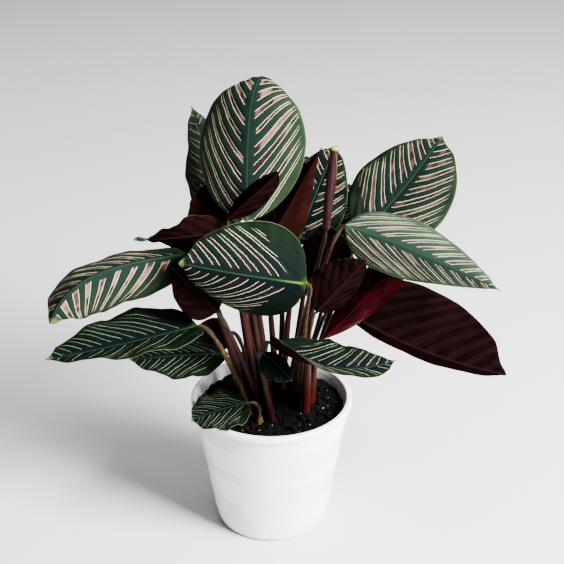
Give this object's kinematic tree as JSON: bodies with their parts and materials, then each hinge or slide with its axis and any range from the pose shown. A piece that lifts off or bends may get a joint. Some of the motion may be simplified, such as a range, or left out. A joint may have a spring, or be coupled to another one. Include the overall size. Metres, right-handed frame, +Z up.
{
  "type": "potted calathea",
  "caption": "Potted calathea for indoor decoration: waved, finely striped leaves on slender stems, in a tapered glazed pot filled with soil.",
  "frame": {"origin": "centre of the underside of the pot's base, on the surface the pot stands on", "axes": "+Z up; -Y is the front, from where the pictured side is seen; +X to the right in that view"},
  "size_m": [0.3749, 0.2599, 0.3822],
  "materials": {
    "pot_glaze": "satin",
    "soil": "matte",
    "leaf": "satin",
    "leaf_half_open": "satin",
    "leaf_spear": "satin",
    "stem": "satin"
  },
  "bodies": {
    "root": {"pot": "pot_glaze", "soil": "soil", "leaf_top": "leaf", "stem_top": "stem", "leaf_top_behind": "leaf", "stem_top_behind": "stem", "leaf_front": "leaf", "stem_front": "stem", "leaf_left": "leaf", "stem_left": "stem", "leaf_left_low": "leaf", "stem_left_low": "stem", "leaf_left_lowest": "leaf", "stem_left_lowest": "stem", "leaf_left_inner": "leaf", "stem_left_inner": "stem", "leaf_right_low": "leaf", "stem_right_low": "stem", "leaf_right_top": "leaf", "stem_right_top": "stem", "leaf_right": "leaf", "stem_right": "stem", "leaf_right_back_turned": "leaf", "stem_right_back_turned": "stem", "leaf_half_open": "leaf_half_open", "stem_half_open": "stem", "leaf_spear": "leaf_spear", "stem_spear": "stem", "leaf_heart": "leaf", "stem_heart": "stem", "leaf_centre": "leaf", "stem_centre": "stem", "leaf_centre_behind": "leaf", "stem_centre_behind": "stem", "leaf_shoulder": "leaf", "stem_shoulder": "stem", "leaf_left_upper": "leaf", "stem_left_upper": "stem", "leaf_under_front": "leaf", "stem_under_front": "stem", "leaf_right_inner": "leaf", "stem_right_inner": "stem", "leaf_crown_small": "leaf", "stem_crown_small": "stem", "leaf_rim": "leaf", "stem_rim": "stem", "leaf_back_top": "leaf", "stem_back_top": "stem", "leaf_back_right": "leaf", "stem_back_right": "stem", "leaf_back_low": "leaf", "stem_back_low": "stem"}
  },
  "joints": []
}
